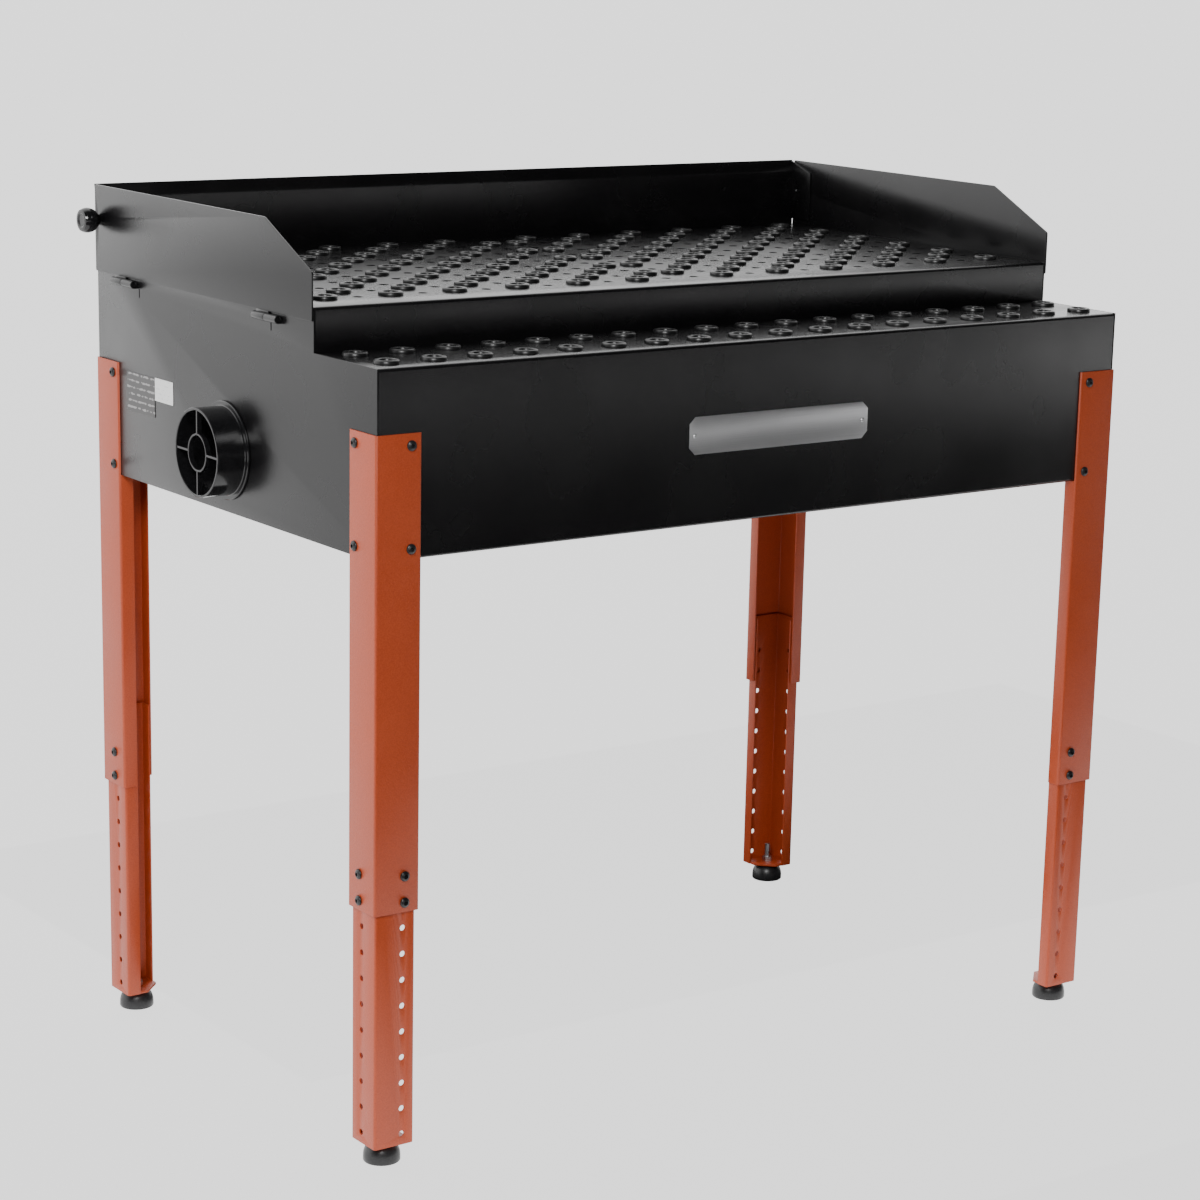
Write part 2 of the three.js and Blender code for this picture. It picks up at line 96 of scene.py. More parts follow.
def fold_sheet(name, skin, run, thickness=sheet, bend=0.003):
    """A bent sheet. The skin runs through the middle of the metal, and the run is its length."""
    piece = trace(name, skin)
    bpy.ops.mesh.select_all(action="SELECT")
    bpy.ops.mesh.extrude_edges_move(TRANSFORM_OT_translate={"value": run})
    bpy.ops.mesh.select_mode(type="EDGE")
    outline = bmesh.from_edit_mesh(piece.data)
    for edge in outline.edges:
        edge.select_set(len(edge.link_faces) == 2)
    if bend:
        bpy.ops.mesh.bevel(offset=bend, segments=5, affect="EDGES")
    bpy.ops.mesh.select_mode(type="VERT")
    bpy.ops.object.mode_set(mode="OBJECT")
    gauge = piece.modifiers.new("gauge", "SOLIDIFY")
    gauge.thickness = thickness
    gauge.offset = 0
    gauge.use_even_offset = True
    bpy.ops.object.modifier_apply(modifier=gauge.name)
    return piece


def cut_away(piece, tool):
    """Takes the tool's shape out of the piece."""
    bpy.ops.object.select_all(action="DESELECT")
    piece.select_set(True)
    bpy.context.view_layer.objects.active = piece
    cut = piece.modifiers.new("cut", "BOOLEAN")
    cut.operation = "DIFFERENCE"
    cut.solver = "EXACT"
    cut.object = tool
    bpy.ops.object.modifier_apply(modifier=cut.name)
    bpy.data.objects.remove(tool)


def punch(piece, places, radius, turn=(0, 0, 0), sides=20, length=4 * sheet):
    """Round holes through a piece, cut by a gang of round punches."""
    bpy.ops.object.select_all(action="DESELECT")
    punch_size = {"vertices": sides, "radius": radius, "depth": length, "rotation": turn}
    bpy.ops.mesh.primitive_cylinder_add(location=places[0], **punch_size)
    gang = bpy.context.object
    bpy.ops.object.mode_set(mode="EDIT")
    for place in places[1:]:
        bpy.ops.mesh.primitive_cylinder_add(location=place, **punch_size)
    bpy.ops.object.mode_set(mode="OBJECT")
    cut_away(piece, gang)


def fit(piece, body, slot, material, *nodes):
    """Gives a finished piece its coat, and puts it on the table in place of its CAD nodes."""
    piece.data.materials.clear()
    piece.data.materials.append(material)
    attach(piece, body)
    if nodes:
        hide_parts(*nodes)


def wire(material, start, end):
    material.node_tree.links.new(start, end)


def mottled(name, dark, light, smooth, rough, grain, relief):
    """A fine grain, mottled between two close shades, with uneven gloss: baked coats and plastics."""
    coat = bpy.data.materials.new(name)
    coat.use_nodes = True
    nodes = coat.node_tree.nodes
    shader = nodes["Principled BSDF"]
    place = nodes.new("ShaderNodeTexCoord")
    peel = nodes.new("ShaderNodeTexNoise")
    peel.inputs["Scale"].default_value = grain
    peel.inputs["Detail"].default_value = 3
    peel.inputs["Roughness"].default_value = 0.65
    wire(coat, place.outputs["Object"], peel.inputs["Vector"])
    cloud = nodes.new("ShaderNodeTexNoise")
    cloud.inputs["Scale"].default_value = 9
    cloud.inputs["Detail"].default_value = 4
    wire(coat, place.outputs["Object"], cloud.inputs["Vector"])
    both = nodes.new("ShaderNodeMix")
    both.inputs["Factor"].default_value = 0.25
    wire(coat, peel.outputs["Fac"], both.inputs["A"])
    wire(coat, cloud.outputs["Fac"], both.inputs["B"])
    shades = nodes.new("ShaderNodeValToRGB")
    shades.color_ramp.elements[0].position = 0.36
    shades.color_ramp.elements[1].position = 0.64
    shades.color_ramp.elements[0].color = (*dark, 1)
    shades.color_ramp.elements[1].color = (*light, 1)
    wire(coat, both.outputs["Result"], shades.inputs["Fac"])
    wire(coat, shades.outputs["Color"], shader.inputs["Base Color"])
    gloss = nodes.new("ShaderNodeMapRange")
    gloss.inputs["From Min"].default_value = 0.3
    gloss.inputs["From Max"].default_value = 0.7
    gloss.inputs["To Min"].default_value = smooth
    gloss.inputs["To Max"].default_value = rough
    wire(coat, cloud.outputs["Fac"], gloss.inputs["Value"])
    wire(coat, gloss.outputs["Result"], shader.inputs["Roughness"])
    bump = nodes.new("ShaderNodeBump")
    bump.inputs["Strength"].default_value = relief
    bump.inputs["Distance"].default_value = 0.0004
    wire(coat, peel.outputs["Fac"], bump.inputs["Height"])
    wire(coat, bump.outputs["Normal"], shader.inputs["Normal"])
    return coat


black_coat = mottled(
    "black powder coat",
    dark=(0.003, 0.003, 0.0034),
    light=(0.007, 0.0065, 0.007),
    smooth=0.22,
    rough=0.3,
    grain=800,
    relief=0.25,
)

shelf_skin = [
    (inner_left, front + 0.016, bottom + half),
    (inner_left, front + half, bottom + half),
    (inner_left, front + half, shelf_top - half),
    (inner_left, riser - seam, shelf_top - half),
]
shelf = fold_sheet("front_wall_and_shelf", shelf_skin, (inner_width, 0, 0))

shelf_columns = 18
shelf_side = 0.0315
shelf_pitch = (right - left - 2 * shelf_side) / (shelf_columns - 1)
shelf_rows = [front + 0.033, front + 0.097]
air_hole = 0.009
shelf_places = [
    (left + shelf_side + column * shelf_pitch, row, shelf_top)
    for row in shelf_rows
    for column in range(shelf_columns)
]
finish(shelf)
punch(shelf, shelf_places, air_hole)
fit(shelf, "table", "black_powder_coat", black_coat, "front_shelf_panel")

# ---- Riser and deck
# The second bent sheet: a low riser behind the shelf, then the deck. It is punched with air
# holes on every second point of a square grid, mirrored about the middle, and with small plain
# holes on the points between.
deck_skin = [
    (inner_left, riser + half, shelf_top - sheet),
    (inner_left, riser + half, deck_top - half),
    (inner_left, back, deck_top - half),
]
deck = fold_sheet("riser_and_deck", deck_skin, (inner_width, 0, 0))

deck_pitch = 0.042
deck_side = 0.048
deck_rows = 11
deck_columns = 12
deck_first_row = riser + 0.059
deck_grid = [
    (left + deck_side + column * deck_pitch, deck_first_row + row * deck_pitch, row + column)
    for row in range(deck_rows)
    for column in range(deck_columns)
]
ring_places = []
small_places = []
for across, along, count in deck_grid:
    chosen = small_places if count % 2 else ring_places
    chosen.append((across, along, deck_top))
    chosen.append((left + right - across, along, deck_top))
small_hole = 0.0055
finish(deck)
punch(deck, ring_places, air_hole)
punch(deck, small_places, small_hole, sides=16)
fit(deck, "table", "black_powder_coat", black_coat, "riser_deck_panel")

# ---- Air rings
# Satin rubber rings pressed into every air hole, standing 4 mm proud so that work can lie on
# them without touching the steel.
ring_outer = 0.0142
ring_height = 0.0042


def spin_profile(name, profile, centre, axis, side, steps):
    """A turned piece: a profile of (radius, height along the axis), spun all the way round."""
    centre = Vector(centre)
    points = [centre + Vector(side) * radius + Vector(axis) * height for radius, height in profile]
    piece = trace(name, points)
    bpy.ops.mesh.select_all(action="SELECT")
    bpy.ops.mesh.spin(steps=steps, angle=2 * math.pi, center=centre, axis=axis, use_auto_merge=True)
    bpy.ops.mesh.select_all(action="SELECT")
    bpy.ops.mesh.remove_doubles(threshold=0.00002)
    bpy.ops.mesh.normals_make_consistent(inside=False)
    return piece


def repeat(piece, places):
    """Copies of everything in the mesh being edited, from the first place to each of the rest."""
    bpy.ops.mesh.select_all(action="SELECT")
    for start, end in zip(places, places[1:]):
        step = Vector(end) - Vector(start)
        bpy.ops.mesh.duplicate_move(TRANSFORM_OT_translate={"value": step})


ring_profile = [
    (air_hole - 0.0003, 0.0001),
    (air_hole - 0.0003, ring_height - 0.0008),
    (air_hole + 0.0006, ring_height),
    (ring_outer - 0.0012, ring_height),
    (ring_outer, ring_height - 0.0012),
    (ring_outer, 0.0001),
    (air_hole - 0.0003, 0.0001),
]
rubber = mottled(
    "ring rubber",
    dark=(0.006, 0.006, 0.0063),
    light=(0.014, 0.014, 0.0143),
    smooth=0.3,
    rough=0.42,
    grain=900,
    relief=0.12,
)
for name, places in (("shelf_air_rings", shelf_places), ("deck_air_rings", ring_places)):
    rings = spin_profile(name, ring_profile, places[0], (0, 0, 1), (1, 0, 0), 20)
    repeat(rings, places)
    finish(rings, edge=0, angle=50)
    fit(rings, "table", None, rubber)

# ---- Side walls and rear wall
# Flat laser-cut sides, stepped like the top, the left one with a round hole for the dust port,
# and a plain rear wall with a flange at the bottom. All are welded to the two bent sheets.
port_low, port_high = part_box("dust_port")
port_middle = (port_low + port_high) / 2
port_opening = 0.0512
slit_places = (front + 0.2234, front + 0.5363)
slit_height = bottom + 0.2243
slit_size = (4 * sheet, 0.0022, 0.0105)
flange_depth = 0.016


def cut_plate(name, outline, thickness, corner=0):
    """A flat plate cut to an outline, as thick as the given step, with rounded corners."""
    piece = trace(name, outline)
    bpy.ops.mesh.select_all(action="SELECT")
    bpy.ops.mesh.edge_face_add()
    if corner:
        bpy.ops.mesh.bevel(offset=corner, segments=4, affect="VERTICES")
    bpy.ops.mesh.select_all(action="SELECT")
    bpy.ops.mesh.extrude_region_move(TRANSFORM_OT_translate={"value": thickness})
    return piece


for name, face in (("left_wall", left), ("right_wall", right - sheet)):
    side_outline = [
        (face, front, bottom),
        (face, back, bottom),
        (face, back, deck_top),
        (face, riser, deck_top),
        (face, riser, shelf_top),
        (face, front, shelf_top),
    ]
    wall = cut_plate(name, side_outline, (sheet, 0, 0))
    finish(wall)
    if face == left:
        port_hole = (left + half, port_middle.y, port_middle.z)
        punch(wall, [port_hole], port_opening, turn=(0, math.pi / 2, 0), sides=64)
    for slit_y in slit_places:
        bpy.ops.object.select_all(action="DESELECT")
        bpy.ops.mesh.primitive_cube_add(size=1, location=(face + half, slit_y, slit_height))
        bpy.ops.transform.resize(value=slit_size)
        cut_away(wall, bpy.context.object)
    fit(wall, "table", "black_powder_coat", black_coat, name.replace("wall", "side_panel"))

rear_skin = [
    (inner_left, back - flange_depth, bottom + half),
    (inner_left, back - half, bottom + half),
    (inner_left, back - half, deck_top - sheet - seam),
]
rear_wall = fold_sheet("rear_wall", rear_skin, (inner_width, 0, 0))
finish(rear_wall)
fit(rear_wall, "table", "black_powder_coat", black_coat, "rear_panel")

# ---- Back guard
# A wall behind the deck, with a narrow lip along the top that leans back, and an ear turned
# forward at each end that the wings are clamped to.
guard_low, guard_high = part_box("back_guard")
guard_lip = 0.015
guard_lean = 0.004
guard_bend = guard_high.z - guard_lip
guard_face = guard_high.y - guard_lean - sheet
guard_skin = [
    (left, guard_face + half, guard_low.z),
    (left, guard_face + half, guard_bend),
    (left, guard_face + half + guard_lean, guard_high.z),
]
guard = fold_sheet("rear_guard", guard_skin, (right - left, 0, 0), bend=0.0015)
ear_bottom = deck_top + 0.007
ear_hole = 0.004
knob_low, knob_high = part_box("left_knob")
knob_middle = (knob_low + knob_high) / 2


def join_to(base, *parts):
    """Joins the parts to the base, as welds or moulding do."""
    bpy.ops.object.mode_set(mode="OBJECT")
    bpy.ops.object.select_all(action="DESELECT")
    for part in (*parts, base):
        part.select_set(True)
    bpy.context.view_layer.objects.active = base
    bpy.ops.object.join()


for face in (left, right - sheet):
    ear_outline = [
        (face, guard_low.y, ear_bottom),
        (face, guard_face + half, ear_bottom),
        (face, guard_face + half, guard_bend),
        (face, guard_face + half + guard_lean, guard_high.z - 0.0005),
        (face, guard_low.y, guard_bend),
    ]
    ear = cut_plate("guard_ear", ear_outline, (sheet, 0, 0))
    bpy.ops.object.mode_set(mode="OBJECT")
    punch(ear, [(face + half, knob_middle.y, knob_middle.z)], ear_hole, turn=(0, math.pi / 2, 0))
    join_to(guard, ear)
finish(guard)
fit(guard, "table", "black_powder_coat", black_coat, "back_guard")

# ---- Wings
# Flat plates that lap the cabinet's sides, with a sloping front corner. Two round knuckles under
# the bottom edge turn on the hinge pins.
wing_low, wing_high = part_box("left_wing")
wing_face = left - seam
wing_bottom = deck_top - 0.015
wing_slope_back = 0.103
wing_slope_down = 0.05
wing_hole = 0.0028
wing_outline = [
    (wing_face, riser, wing_bottom),
    (wing_face, back, wing_bottom),
    (wing_face, back, wing_high.z),
    (wing_face, riser + wing_slope_back, wing_high.z),
    (wing_face, riser, wing_high.z - wing_slope_down),
]
wing = cut_plate("left_side_wing", wing_outline, (-sheet, 0, 0), corner=0.002)
bpy.ops.object.mode_set(mode="OBJECT")
punch(wing, [(wing_face - half, knob_middle.y, knob_middle.z)], wing_hole, turn=(0, math.pi / 2, 0))
pin_low, pin_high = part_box("left_front_hinge_pin")
hinge_radius = 0.0045
hinge_x = pin_low.x + hinge_radius
hinge_z = pin_high.z - hinge_radius
knuckle_length = 0.027
knuckle_profile = [
    (0.003, 0),
    (hinge_radius - 0.0006, 0),
    (hinge_radius, 0.0006),
    (hinge_radius, knuckle_length - 0.0006),
    (hinge_radius - 0.0006, knuckle_length),
    (0.003, knuckle_length),
    (0.003, 0),
]
for end in ("front", "rear"):
    knuckle_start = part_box(f"left_{end}_hinge_pin")[1].y - knuckle_length + 0.0023
    centre = (hinge_x, knuckle_start, hinge_z)
    knuckle = spin_profile("knuckle", knuckle_profile, centre, (0, 1, 0), (0, 0, 1), 24)
    bpy.ops.object.mode_set(mode="OBJECT")
    tab_outline = [
        (wing_face, knuckle_start, hinge_z),
        (wing_face, knuckle_start + knuckle_length, hinge_z),
        (wing_face, knuckle_start + knuckle_length, wing_bottom + 0.0005),
        (wing_face, knuckle_start, wing_bottom + 0.0005),
    ]
    tab = cut_plate("tab", tab_outline, (-sheet, 0, 0))
    join_to(wing, knuckle, tab)
finish(wing, edge=0.0003)


def mirror_copy(piece, name, across_x, across_y):
    """The opposite-hand copy of a piece, mirrored about the cabinet's middle."""
    bpy.ops.object.select_all(action="DESELECT")
    piece.select_set(True)
    bpy.context.view_layer.objects.active = piece
    bpy.ops.object.duplicate()
    copy = bpy.context.object
    copy.name = name
    bpy.ops.object.mode_set(mode="EDIT")
    bpy.ops.mesh.select_all(action="SELECT")
    middle = ((left + right) / 2, (front + back) / 2, 0)
    flip = (-1 if across_x else 1, -1 if across_y else 1, 1)
    bpy.ops.transform.resize(value=flip, center_override=middle)
    bpy.ops.mesh.normals_make_consistent(inside=False)
    bpy.ops.object.mode_set(mode="OBJECT")
    return copy


right_wing = mirror_copy(wing, "right_side_wing", True, False)
fit(wing, "left_wing", "black_powder_coat", black_coat, "left_wing")
fit(right_wing, "right_wing", "black_powder_coat", black_coat, "right_wing")

# ---- Hinge pins
# The fixed half of each barrel hinge, welded to the cabinet in front of the wing's knuckle and
# coated with it. The pin inside runs back through the knuckle, and its round end shows in front.
block_length = 0.0265
pin_radius = 0.0024
pin_profile = [
    (0, 0.0012),
    (pin_radius, 0.0012),
    (pin_radius, 0.003),
    (pin_radius + 0.0006, 0.003),
    (pin_radius + 0.0006, 0.0003),
    (pin_radius + 0.0009, 0),
    (hinge_radius - 0.0006, 0),
    (hinge_radius, 0.0006),
    (hinge_radius, block_length - 0.0008),
    (hinge_radius - 0.0008, block_length),
    (pin_radius, block_length),
    (pin_radius, block_length + knuckle_length - 0.002),
    (0, block_length + knuckle_length - 0.002),
]
for end in ("front", "rear"):
    low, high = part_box(f"left_{end}_hinge_pin")
    start = (hinge_x, low.y, hinge_z)
    block = spin_profile(f"left_{end}_hinge_block", pin_profile, start, (0, 1, 0), (0, 0, 1), 24)
    bpy.ops.object.mode_set(mode="OBJECT")
    weld_outline = [
        (hinge_x, low.y, hinge_z - hinge_radius),
        (left - seam, low.y, hinge_z - hinge_radius),
        (left - seam, low.y, hinge_z),
        (hinge_x, low.y, hinge_z),
    ]
    weld = cut_plate("weld", weld_outline, (0, block_length, 0))
    join_to(block, weld)
    finish(block, edge=0)
    other = mirror_copy(block, f"right_{end}_hinge_block", True, False)
    fit(block, "table", "black_oxide", black_coat, f"left_{end}_hinge_pin")
    fit(other, "table", "black_oxide", black_coat, f"right_{end}_hinge_pin")

# ---- Knobs
# Black moulded ball knobs on a steel screw, with a shallow disc sunk in the end. They clamp the
# wings to the guard's ears.
gloss_black = mottled(
    "moulded gloss black",
    dark=(0.006, 0.006, 0.0065),
    light=(0.011, 0.011, 0.012),
    smooth=0.12,
    rough=0.22,
    grain=260,
    relief=0.04,
)
knob_radius = (knob_high.z - knob_low.z) / 2 + 0.0003
knob_seat = left - sheet - seam
knob_reach = knob_seat - knob_low.x
stud_end = knob_high.x - knob_seat
knob_widest = 0.0153
swell = [
    (knob_radius * math.cos(turn), knob_widest + 0.0145 * math.sin(turn))
    for turn in [math.radians(-48 + 8 * step) for step in range(11)]
]
knob_profile = [
    (0, -stud_end),
    (0.0021, -stud_end),
    (0.0025, -stud_end + 0.0005),
    (0.0025, 0.0003),
    (0.0060, 0.0003),
    (0.0063, 0.0008),
    (0.0077, 0.0024),
    *swell,
    (knob_radius * 0.72, knob_reach - 0.0002),
    (knob_radius * 0.62, knob_reach),
    (knob_radius * 0.52, knob_reach - 0.0003),
    (knob_radius * 0.44, knob_reach - 0.0014),
    (0, knob_reach - 0.0016),
]
knob_place = (knob_seat, knob_middle.y, knob_middle.z)
knob = spin_profile("left_ball_knob", knob_profile, knob_place, (-1, 0, 0), (0, 0, 1), 40)
finish(knob, edge=0)
right_knob = mirror_copy(knob, "right_ball_knob", True, False)
fit(knob, "left_knob", "black_phenolic", gloss_black, "left_knob")
fit(right_knob, "right_knob", "black_phenolic", gloss_black, "right_knob")

# ---- Dust port
# A gloss moulded hose port in the left wall, with a round flange against the wall, a mould parting
# line along each side, and a finger guard of a ring and four spokes just inside the mouth.
port_radius = 0.0508
port_bore = port_radius - 0.003
port_centre = (left, port_middle.y, port_middle.z)
mouth = left - port_low.x
flange_face = 0.0033
port_inside = port_high.x - left
flange_radius = (port_high.z - port_low.z) / 2
port_profile = [
    (port_bore, -port_inside),
    (port_radius, -port_inside),
    (port_radius, seam),
    (flange_radius - 0.0005, seam),
    (flange_radius, seam + 0.0005),
    (flange_radius, flange_face - 0.0009),
    (flange_radius - 0.0009, flange_face),
    (port_radius + 0.0009, flange_face),
    (port_radius, flange_face + 0.0009),
    (port_radius, mouth - 0.0006),
    (port_radius - 0.0006, mouth),
    (port_bore + 0.0006, mouth),
    (port_bore, mouth - 0.0006),
    (port_bore, -port_inside),
]
port = spin_profile("dust_hose_port", port_profile, port_centre, (-1, 0, 0), (0, 0, 1), 72)
bpy.ops.object.mode_set(mode="OBJECT")
guard_ring = 0.022
ring_wall = 0.0024
guard_back = mouth - 0.007
guard_front = mouth - 0.001
hub_profile = [
    (guard_ring - ring_wall, guard_back),
    (guard_ring, guard_back),
    (guard_ring, guard_front - 0.0005),
    (guard_ring - 0.0005, guard_front),
    (guard_ring - ring_wall + 0.0005, guard_front),
    (guard_ring - ring_wall, guard_front - 0.0005),
    (guard_ring - ring_wall, guard_back),
]
port_parts = [spin_profile("guard_ring", hub_profile, port_centre, (-1, 0, 0), (0, 0, 1), 48)]
bpy.ops.object.mode_set(mode="OBJECT")
spoke_half = 0.0012
spoke_near = guard_ring - ring_wall / 2
spoke_far = port_bore + 0.0015
for along_y, along_z in ((1, 0), (0, 1), (-1, 0), (0, -1)):
    sideways = Vector((0, along_z, along_y)) * spoke_half
    outward = Vector((0, along_y, along_z))
    middle = Vector((left - guard_back, port_middle.y, port_middle.z))
    spoke_outline = [
        middle + outward * spoke_near - sideways,
        middle + outward * spoke_far - sideways,
        middle + outward * spoke_far + sideways,
        middle + outward * spoke_near + sideways,
    ]
    port_parts.append(cut_plate("guard_spoke", spoke_outline, (guard_back - guard_front, 0, 0)))
    bpy.ops.object.mode_set(mode="OBJECT")
for side in (-1, 1):
    line_y = port_middle.y + side * (port_radius - 0.0004)
    line_outline = [
        (left - mouth + 0.001, line_y, port_middle.z - 0.0005),
        (left - seam, line_y, port_middle.z - 0.0005),
        (left - seam, line_y, port_middle.z + 0.0005),
        (left - mouth + 0.001, line_y, port_middle.z + 0.0005),
    ]
    port_parts.append(cut_plate("parting_line", line_outline, (0, side * 0.0008, 0)))
    bpy.ops.object.mode_set(mode="OBJECT")
join_to(port, *port_parts)
finish(port, edge=0, angle=30)
fit(port, "table", "black_abs", gloss_black, "dust_port")

# ---- Upper legs
# Steel angles in orange powder coat, bolted outside the cabinet's corners. Below the cabinet
# they close in with a lip on each edge, which the lower legs slide behind.
orange_coat = mottled(
    "orange powder coat",
    dark=(0.40, 0.050, 0.011),
    light=(0.50, 0.072, 0.018),
    smooth=0.36,
    rough=0.46,
    grain=600,
    relief=0.7,
)
leg_low, leg_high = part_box("front_left_upper_leg")
leg_lip = 0.018


def leg_skin(inset, lip, height):
    """The middle of a front left leg's metal, set in from the leg's outer corner."""
    near_x = leg_low.x + inset + half
    near_y = leg_low.y + inset + half
    far_x = leg_high.x - inset - half
    far_y = leg_high.y - inset - half
    return [
        (near_x + lip - half, far_y, height),
        (near_x, far_y, height),
        (near_x, near_y, height),
        (far_x, near_y, height),
        (far_x, near_y + lip - half, height),
    ]


corners = {
    "front_left": (False, False),
    "front_right": (True, False),
    "rear_left": (False, True),
    "rear_right": (True, True),
}
leg_length = leg_high.z - leg_low.z
leg_bend = 0.0022
upper_leg = fold_sheet(
    "front_left_leg_angle",
    leg_skin(0, leg_lip, leg_low.z),
    (0, 0, leg_length),
    bend=leg_bend,
)
bpy.ops.object.select_all(action="DESELECT")
cabinet_cut = 0.3
cut_near = cabinet_cut / 2 - seam / 2
cut_place = (left + cut_near, front + cut_near, bottom + cabinet_cut / 2 - seam)
bpy.ops.mesh.primitive_cube_add(size=cabinet_cut, location=cut_place)
cut_away(upper_leg, bpy.context.object)
finish(upper_leg, edge=0.0004)
upper_legs = {"front_left": upper_leg}
for corner, (across_x, across_y) in list(corners.items())[1:]:
    upper_legs[corner] = mirror_copy(upper_leg, f"{corner}_leg_angle", across_x, across_y)
for corner, leg in upper_legs.items():
    fit(leg, "table", "orange_powder_coat", orange_coat, f"{corner}_upper_leg")

# ---- Lower legs
# The same section one size smaller, nested inside, with a row of bolt holes 30 mm apart down
# both faces and a welded end plate that holds the foot.
inner_low, inner_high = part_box("front_left_lower_leg")
leg_inset = inner_low.x - leg_low.x
inner_length = inner_high.z - inner_low.z
inner_lip = leg_lip - 0.0012
lower_leg = fold_sheet(
    "front_left_leg_extension",
    leg_skin(leg_inset, inner_lip, inner_low.z),
    (0, 0, inner_length),
    bend=leg_bend,
)
hole_from_front = 0.032
hole_from_side = 0.038
hole_from_end = 0.011
hole_pitch = 0.03
hole_count = 11
leg_hole = 0.0035
top_hole = leg_low.z + hole_from_end + hole_pitch
hole_heights = [top_hole - hole_pitch * step for step in range(hole_count)]
side_holes = [(inner_low.x + half, leg_low.y + hole_from_front, height) for height in hole_heights]
front_holes = [(leg_low.x + hole_from_side, inner_low.y + half, height) for height in hole_heights]
punch(lower_leg, side_holes, leg_hole, turn=(0, math.pi / 2, 0), sides=18)
punch(lower_leg, front_holes, leg_hole, turn=(math.pi / 2, 0, 0), sides=18)
plate_near_x = inner_low.x + half
plate_near_y = inner_low.y + half
plate_far_x = inner_high.x - half
plate_far_y = inner_high.y - half
plate_clip = 0.022
plate_outline = [
    (plate_near_x, plate_near_y, inner_low.z),
    (plate_far_x, plate_near_y, inner_low.z),
    (plate_far_x, plate_far_y - plate_clip, inner_low.z),
    (plate_far_x - plate_clip, plate_far_y, inner_low.z),
    (plate_near_x, plate_far_y, inner_low.z),
]
end_plate = cut_plate("end_plate", plate_outline, (0, 0, 0.003))
bpy.ops.object.mode_set(mode="OBJECT")
foot_low, foot_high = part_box("front_left_foot")
foot_middle = (foot_low + foot_high) / 2
punch(end_plate, [(foot_middle.x, foot_middle.y, inner_low.z)], 0.0045)
join_to(lower_leg, end_plate)
finish(lower_leg, edge=0.0003)
lower_legs = {"front_left": lower_leg}
for corner, (across_x, across_y) in list(corners.items())[1:]:
    lower_legs[corner] = mirror_copy(lower_leg, f"{corner}_leg_extension", across_x, across_y)
for corner, leg in lower_legs.items():
    fit(leg, f"{corner}_lower_leg", "orange_powder_coat", orange_coat, f"{corner}_lower_leg")

# ---- Feet
# Domed glides moulded on a zinc-plated screw, which is turned through a nut on the end plate to
# level the table.
glide = mottled(
    "glide plastic",
    dark=(0.01, 0.01, 0.011),
    light=(0.022, 0.022, 0.023),
    smooth=0.3,
    rough=0.45,
    grain=420,
    relief=0.12,
)
foot_radius = (foot_high.x - foot_low.x) / 2
foot_height = 0.022
foot_rim = 0.0055
foot_crown = 0.0105
foot_profile = [
    (0, 0.0002),
    (foot_radius - 0.003, 0.0002),
    (foot_radius - 0.0022, 0),
    (foot_radius - 0.0008, 0),
    (foot_radius, 0.0012),
    (foot_radius, foot_rim),
    *[
        (
            foot_crown + (foot_radius - foot_crown) * math.cos(turn),
            foot_rim + (foot_height - foot_rim) * math.sin(turn),
        )
        for turn in [math.radians(12 * step) for step in range(1, 8)]
    ],
    (foot_crown - 0.001, foot_height),
    (0.004, foot_height),
    (0.004, foot_high.z - foot_low.z - 0.0008),
    (0.0032, foot_high.z - foot_low.z),
    (0, foot_high.z - foot_low.z),
]
zinc = bpy.data.materials.new("zinc plate")
zinc.use_nodes = True
zinc_nodes = zinc.node_tree.nodes
zinc_shader = zinc_nodes["Principled BSDF"]
zinc_shader.inputs["Metallic"].default_value = 1
zinc_place = zinc_nodes.new("ShaderNodeTexCoord")
zinc_cloud = zinc_nodes.new("ShaderNodeTexNoise")
zinc_cloud.inputs["Scale"].default_value = 120
zinc_cloud.inputs["Detail"].default_value = 3
wire(zinc, zinc_place.outputs["Object"], zinc_cloud.inputs["Vector"])
zinc_shades = zinc_nodes.new("ShaderNodeValToRGB")
zinc_shades.color_ramp.elements[0].color = (0.5, 0.51, 0.53, 1)
zinc_shades.color_ramp.elements[1].color = (0.72, 0.73, 0.75, 1)
wire(zinc, zinc_cloud.outputs["Fac"], zinc_shades.inputs["Fac"])
wire(zinc, zinc_shades.outputs["Color"], zinc_shader.inputs["Base Color"])
zinc_gloss = zinc_nodes.new("ShaderNodeMapRange")
zinc_gloss.inputs["To Min"].default_value = 0.2
zinc_gloss.inputs["To Max"].default_value = 0.45
wire(zinc, zinc_cloud.outputs["Fac"], zinc_gloss.inputs["Value"])
wire(zinc, zinc_gloss.outputs["Result"], zinc_shader.inputs["Roughness"])

for corner in corners:
    low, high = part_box(f"{corner}_foot")
    stand = ((low.x + high.x) / 2, (low.y + high.y) / 2, low.z)
    glide_foot = spin_profile(f"{corner}_glide", foot_profile, stand, (0, 0, 1), (1, 0, 0), 40)
    finish(glide_foot, edge=0)
    fit(glide_foot, f"{corner}_foot", "black_glide", glide, f"{corner}_foot")
    glide_foot.data.materials.append(zinc)
    for face in glide_foot.data.polygons:
        if face.center.z > low.z + foot_height + 0.0002:
            face.material_index = 1
    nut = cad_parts[f"{corner}_foot_nut"]
    nut.data.materials.clear()
    nut.data.materials.append(zinc)

